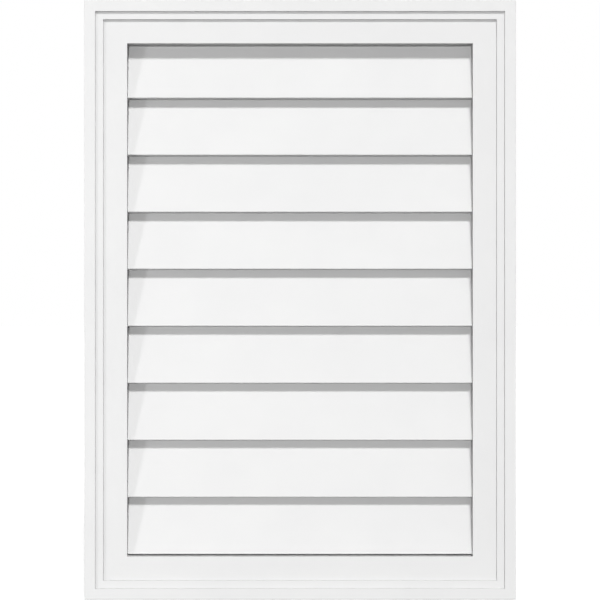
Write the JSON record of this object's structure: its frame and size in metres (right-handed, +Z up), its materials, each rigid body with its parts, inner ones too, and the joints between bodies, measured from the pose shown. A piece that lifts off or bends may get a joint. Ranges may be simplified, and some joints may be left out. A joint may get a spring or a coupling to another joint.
{
  "type": "louvered gable vent",
  "caption": "White rectangular gable vent: a stepped, mitred surface-mount frame with fixed sloping louver blades let into its jambs and an insect screen behind, for airing an attic.",
  "frame": {"origin": "middle of the frame's bottom edge on the wall plane, on the back of the sill", "axes": "+X to the right as seen from the front, +Y into the wall, +Z up; the louvers face -Y"},
  "size_m": [0.512, 0.0381, 0.7112],
  "materials": {
    "white_pvc": "satin white cellular PVC",
    "screen_mesh": "charcoal vinyl-coated fibreglass mesh",
    "staple_wire": "galvanised wire"
  },
  "bodies": {
    "root": {"frame_head": "white_pvc", "frame_sill": "white_pvc", "frame_jamb_left": "white_pvc", "frame_jamb_right": "white_pvc", "louver_blade_1": "white_pvc", "louver_blade_2": "white_pvc", "louver_blade_3": "white_pvc", "louver_blade_4": "white_pvc", "louver_blade_5": "white_pvc", "louver_blade_6": "white_pvc", "louver_blade_7": "white_pvc", "louver_blade_8": "white_pvc", "louver_blade_9": "white_pvc", "insect_screen": "screen_mesh", "screen_staples": "staple_wire"}
  },
  "joints": []
}
